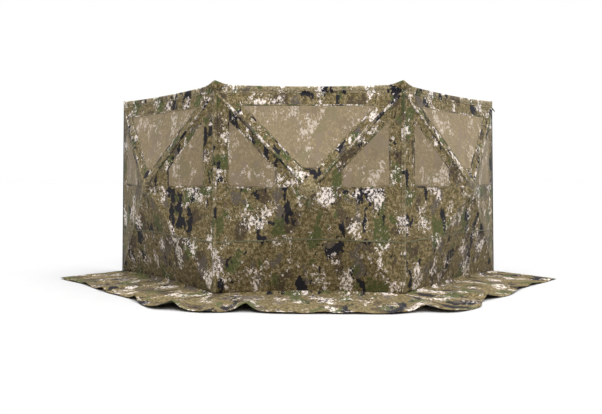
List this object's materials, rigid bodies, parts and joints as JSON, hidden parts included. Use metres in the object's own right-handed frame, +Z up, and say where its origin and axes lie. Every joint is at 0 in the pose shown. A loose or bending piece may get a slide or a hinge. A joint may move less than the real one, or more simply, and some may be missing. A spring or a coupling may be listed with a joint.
{
  "type": "pop up ground blind",
  "caption": "Free-standing cloth wall of hub-stretched panels with see-through mesh windows, an open back and a skirt that lies on the ground.",
  "frame": {"origin": "on the ground, under the middle of the whole object's box", "axes": "+Z up, -Y outward from the front wall, +X to the right as seen from outside the front wall"},
  "size_m": [4.531, 1.7282, 1.724],
  "materials": {
    "cloth": "matt printed polyester",
    "mesh": "matt printed see-through mesh",
    "piping": "matt woven edging",
    "fibreglass": "satin pultruded rod with metal ferrules",
    "hub_plastic": "moulded, fine grain",
    "steel": "drawn wire",
    "webbing": "flat woven"
  },
  "bodies": {
    "front_wall": {"front_top_hem": "cloth", "front_skirt": "cloth", "left_corner_piping": "piping", "right_corner_piping": "piping", "left_corner_cap": "cloth", "right_corner_cap": "cloth", "left_skirt_gusset": "cloth", "right_skirt_gusset": "cloth"},
    "left_wall": {"left_top_hem": "cloth", "left_skirt": "cloth", "left_end_piping": "piping"},
    "right_wall": {"right_top_hem": "cloth", "right_skirt": "cloth", "right_end_piping": "piping", "right_end_clip": "hub_plastic"},
    "front_hub": {"front_hub_core": "hub_plastic", "front_hub_bolt": "hub_plastic", "front_hub_pin_ring": "steel"},
    "front_bottom_facet": {"front_bottom_facet": "cloth", "front_pull_tab": "webbing"},
    "front_right_facet": {"front_right_facet": "cloth", "front_right_window": "mesh"},
    "front_top_facet": {"front_top_facet": "cloth", "front_top_window": "mesh"},
    "front_left_facet": {"front_left_facet": "cloth", "front_left_window": "mesh"},
    "front_pole_bottom_left": {"front_pole_bottom_left": "fibreglass"},
    "front_pole_bottom_right": {"front_pole_bottom_right": "fibreglass"},
    "front_pole_top_right": {"front_pole_top_right": "fibreglass"},
    "front_pole_top_left": {"front_pole_top_left": "fibreglass"},
    "left_hub": {"left_hub_core": "hub_plastic", "left_hub_bolt": "hub_plastic", "left_hub_pin_ring": "steel"},
    "left_bottom_facet": {"left_bottom_facet": "cloth", "left_pull_tab": "webbing"},
    "left_right_facet": {"left_right_facet": "cloth", "left_right_window": "mesh"},
    "left_top_facet": {"left_top_facet": "cloth", "left_top_window": "mesh"},
    "left_left_facet": {"left_left_facet": "cloth", "left_left_window": "mesh"},
    "left_pole_bottom_left": {"left_pole_bottom_left": "fibreglass"},
    "left_pole_bottom_right": {"left_pole_bottom_right": "fibreglass"},
    "left_pole_top_right": {"left_pole_top_right": "fibreglass"},
    "left_pole_top_left": {"left_pole_top_left": "fibreglass"},
    "right_hub": {"right_hub_core": "hub_plastic", "right_hub_bolt": "hub_plastic", "right_hub_pin_ring": "steel"},
    "right_bottom_facet": {"right_bottom_facet": "cloth", "right_pull_tab": "webbing"},
    "right_right_facet": {"right_right_facet": "cloth", "right_right_window": "mesh"},
    "right_top_facet": {"right_top_facet": "cloth", "right_top_window": "mesh"},
    "right_left_facet": {"right_left_facet": "cloth", "right_left_window": "mesh"},
    "right_pole_bottom_left": {"right_pole_bottom_left": "fibreglass"},
    "right_pole_bottom_right": {"right_pole_bottom_right": "fibreglass"},
    "right_pole_top_right": {"right_pole_top_right": "fibreglass"},
    "right_pole_top_left": {"right_pole_top_left": "fibreglass"}
  },
  "joints": [
    {"name": "left_wall_swing", "type": "hinge", "parent": "front_wall", "child": "left_wall", "pos_m": [-0.765, -0.26409, 0], "axis": [0, 0, -1], "range_deg": [-45, 55], "deforming": ["left_skirt_gusset"]},
    {"name": "right_wall_swing", "type": "hinge", "parent": "front_wall", "child": "right_wall", "pos_m": [0.765, -0.26409, 0], "axis": [0, 0, 1], "range_deg": [-45, 55], "deforming": ["right_skirt_gusset"]},
    {"name": "front_hub_pop", "type": "slide", "parent": "front_wall", "child": "front_hub", "axis": [0, -1, 0], "range_m": [-0.38, 0]},
    {"name": "front_bottom_facet_hinge", "type": "hinge", "parent": "front_wall", "child": "front_bottom_facet", "pos_m": [-0.757, -0.26409, 0.0035], "axis": [1, 0, 0], "range_deg": [-25.47, 0.02]},
    {"name": "front_right_facet_hinge", "type": "hinge", "parent": "front_wall", "child": "front_right_facet", "pos_m": [0.757, -0.26409, 0.0035], "axis": [0, 0, 1], "range_deg": [-28.2, 0.02]},
    {"name": "front_top_facet_hinge", "type": "hinge", "parent": "front_wall", "child": "front_top_facet", "pos_m": [0.757, -0.26409, 1.6235], "axis": [-1, 0, 0], "range_deg": [-27.45, 0.02]},
    {"name": "front_left_facet_hinge", "type": "hinge", "parent": "front_wall", "child": "front_left_facet", "pos_m": [-0.757, -0.26409, 1.6235], "axis": [0, 0, -1], "range_deg": [-28.2, 0.02]},
    {"name": "front_pole_bottom_left_hinge", "type": "hinge", "parent": "front_hub", "child": "front_pole_bottom_left", "pos_m": [-0.01471, -0.43609, 0.82864], "axis": [-0.7434, 0, 0.6688], "range_deg": [-0.02, 18.85]},
    {"name": "front_pole_bottom_right_hinge", "type": "hinge", "parent": "front_hub", "child": "front_pole_bottom_right", "pos_m": [0.01471, -0.43609, 0.82864], "axis": [-0.7434, 0, -0.6688], "range_deg": [-0.02, 18.85]},
    {"name": "front_pole_top_right_hinge", "type": "hinge", "parent": "front_hub", "child": "front_pole_top_right", "pos_m": [0.01534, -0.43609, 0.86077], "axis": [0.7169, 0, -0.6971], "range_deg": [-0.02, 19.64]},
    {"name": "front_pole_top_left_hinge", "type": "hinge", "parent": "front_hub", "child": "front_pole_top_left", "pos_m": [-0.01534, -0.43609, 0.86077], "axis": [0.7169, 0, 0.6971], "range_deg": [-0.02, 19.64]},
    {"name": "left_hub_pop", "type": "slide", "parent": "left_wall", "child": "left_hub", "axis": [-0.7071, -0.7071, 0], "range_m": [-0.38, 0]},
    {"name": "left_bottom_facet_hinge", "type": "hinge", "parent": "left_wall", "child": "left_bottom_facet", "pos_m": [-1.84122, 0.81212, 0.0035], "axis": [0.7071, -0.7071, 0], "range_deg": [-25.47, 0.02]},
    {"name": "left_right_facet_hinge", "type": "hinge", "parent": "left_wall", "child": "left_right_facet", "pos_m": [-0.77066, -0.25844, 0.0035], "axis": [0, 0, 1], "range_deg": [-28.2, 0.02]},
    {"name": "left_top_facet_hinge", "type": "hinge", "parent": "left_wall", "child": "left_top_facet", "pos_m": [-0.77066, -0.25844, 1.6235], "axis": [-0.7071, 0.7071, 0], "range_deg": [-27.45, 0.02]},
    {"name": "left_left_facet_hinge", "type": "hinge", "parent": "left_wall", "child": "left_left_facet", "pos_m": [-1.84122, 0.81212, 1.6235], "axis": [0, 0, -1], "range_deg": [-28.2, 0.02]},
    {"name": "left_pole_bottom_left_hinge", "type": "hinge", "parent": "left_hub", "child": "left_pole_bottom_left", "pos_m": [-1.43796, 0.16562, 0.82864], "axis": [-0.5257, 0.5257, 0.6688], "range_deg": [-0.02, 18.85]},
    {"name": "left_pole_bottom_right_hinge", "type": "hinge", "parent": "left_hub", "child": "left_pole_bottom_right", "pos_m": [-1.41715, 0.14482, 0.82864], "axis": [-0.5257, 0.5257, -0.6688], "range_deg": [-0.02, 18.85]},
    {"name": "left_pole_top_right_hinge", "type": "hinge", "parent": "left_hub", "child": "left_pole_top_right", "pos_m": [-1.41671, 0.14438, 0.86077], "axis": [0.507, -0.507, -0.6971], "range_deg": [-0.02, 19.64]},
    {"name": "left_pole_top_left_hinge", "type": "hinge", "parent": "left_hub", "child": "left_pole_top_left", "pos_m": [-1.4384, 0.16606, 0.86077], "axis": [0.507, -0.507, 0.6971], "range_deg": [-0.02, 19.64]},
    {"name": "right_hub_pop", "type": "slide", "parent": "right_wall", "child": "right_hub", "axis": [0.7071, -0.7071, 0], "range_m": [-0.38, 0]},
    {"name": "right_bottom_facet_hinge", "type": "hinge", "parent": "right_wall", "child": "right_bottom_facet", "pos_m": [0.77066, -0.25844, 0.0035], "axis": [0.7071, 0.7071, 0], "range_deg": [-25.47, 0.02]},
    {"name": "right_right_facet_hinge", "type": "hinge", "parent": "right_wall", "child": "right_right_facet", "pos_m": [1.84122, 0.81212, 0.0035], "axis": [0, 0, 1], "range_deg": [-28.2, 0.02]},
    {"name": "right_top_facet_hinge", "type": "hinge", "parent": "right_wall", "child": "right_top_facet", "pos_m": [1.84122, 0.81212, 1.6235], "axis": [-0.7071, -0.7071, 0], "range_deg": [-27.45, 0.02]},
    {"name": "right_left_facet_hinge", "type": "hinge", "parent": "right_wall", "child": "right_left_facet", "pos_m": [0.77066, -0.25844, 1.6235], "axis": [0, 0, -1], "range_deg": [-28.2, 0.02]},
    {"name": "right_pole_bottom_left_hinge", "type": "hinge", "parent": "right_hub", "child": "right_pole_bottom_left", "pos_m": [1.41715, 0.14482, 0.82864], "axis": [-0.5257, -0.5257, 0.6688], "range_deg": [-0.02, 18.85]},
    {"name": "right_pole_bottom_right_hinge", "type": "hinge", "parent": "right_hub", "child": "right_pole_bottom_right", "pos_m": [1.43796, 0.16562, 0.82864], "axis": [-0.5257, -0.5257, -0.6688], "range_deg": [-0.02, 18.85]},
    {"name": "right_pole_top_right_hinge", "type": "hinge", "parent": "right_hub", "child": "right_pole_top_right", "pos_m": [1.4384, 0.16606, 0.86077], "axis": [0.507, 0.507, -0.6971], "range_deg": [-0.02, 19.64]},
    {"name": "right_pole_top_left_hinge", "type": "hinge", "parent": "right_hub", "child": "right_pole_top_left", "pos_m": [1.41671, 0.14438, 0.86077], "axis": [0.507, 0.507, 0.6971], "range_deg": [-0.02, 19.64]}
  ],
  "couplings": [
    {"joint": "front_bottom_facet_hinge", "follows": "front_hub_pop", "rad_per_m": 1.1688},
    {"joint": "front_right_facet_hinge", "follows": "front_hub_pop", "rad_per_m": 1.2943},
    {"joint": "front_top_facet_hinge", "follows": "front_hub_pop", "rad_per_m": 1.2599},
    {"joint": "front_left_facet_hinge", "follows": "front_hub_pop", "rad_per_m": 1.2943},
    {"joint": "front_pole_bottom_left_hinge", "follows": "front_hub_pop", "rad_per_m": -0.86467},
    {"joint": "front_pole_bottom_right_hinge", "follows": "front_hub_pop", "rad_per_m": -0.86467},
    {"joint": "front_pole_top_right_hinge", "follows": "front_hub_pop", "rad_per_m": -0.90137},
    {"joint": "front_pole_top_left_hinge", "follows": "front_hub_pop", "rad_per_m": -0.90137},
    {"joint": "left_bottom_facet_hinge", "follows": "left_hub_pop", "rad_per_m": 1.1688},
    {"joint": "left_right_facet_hinge", "follows": "left_hub_pop", "rad_per_m": 1.2943},
    {"joint": "left_top_facet_hinge", "follows": "left_hub_pop", "rad_per_m": 1.2599},
    {"joint": "left_left_facet_hinge", "follows": "left_hub_pop", "rad_per_m": 1.2943},
    {"joint": "left_pole_bottom_left_hinge", "follows": "left_hub_pop", "rad_per_m": -0.86467},
    {"joint": "left_pole_bottom_right_hinge", "follows": "left_hub_pop", "rad_per_m": -0.86467},
    {"joint": "left_pole_top_right_hinge", "follows": "left_hub_pop", "rad_per_m": -0.90137},
    {"joint": "left_pole_top_left_hinge", "follows": "left_hub_pop", "rad_per_m": -0.90137},
    {"joint": "right_bottom_facet_hinge", "follows": "right_hub_pop", "rad_per_m": 1.1688},
    {"joint": "right_right_facet_hinge", "follows": "right_hub_pop", "rad_per_m": 1.2943},
    {"joint": "right_top_facet_hinge", "follows": "right_hub_pop", "rad_per_m": 1.2599},
    {"joint": "right_left_facet_hinge", "follows": "right_hub_pop", "rad_per_m": 1.2943},
    {"joint": "right_pole_bottom_left_hinge", "follows": "right_hub_pop", "rad_per_m": -0.86467},
    {"joint": "right_pole_bottom_right_hinge", "follows": "right_hub_pop", "rad_per_m": -0.86467},
    {"joint": "right_pole_top_right_hinge", "follows": "right_hub_pop", "rad_per_m": -0.90137},
    {"joint": "right_pole_top_left_hinge", "follows": "right_hub_pop", "rad_per_m": -0.90137}
  ]
}
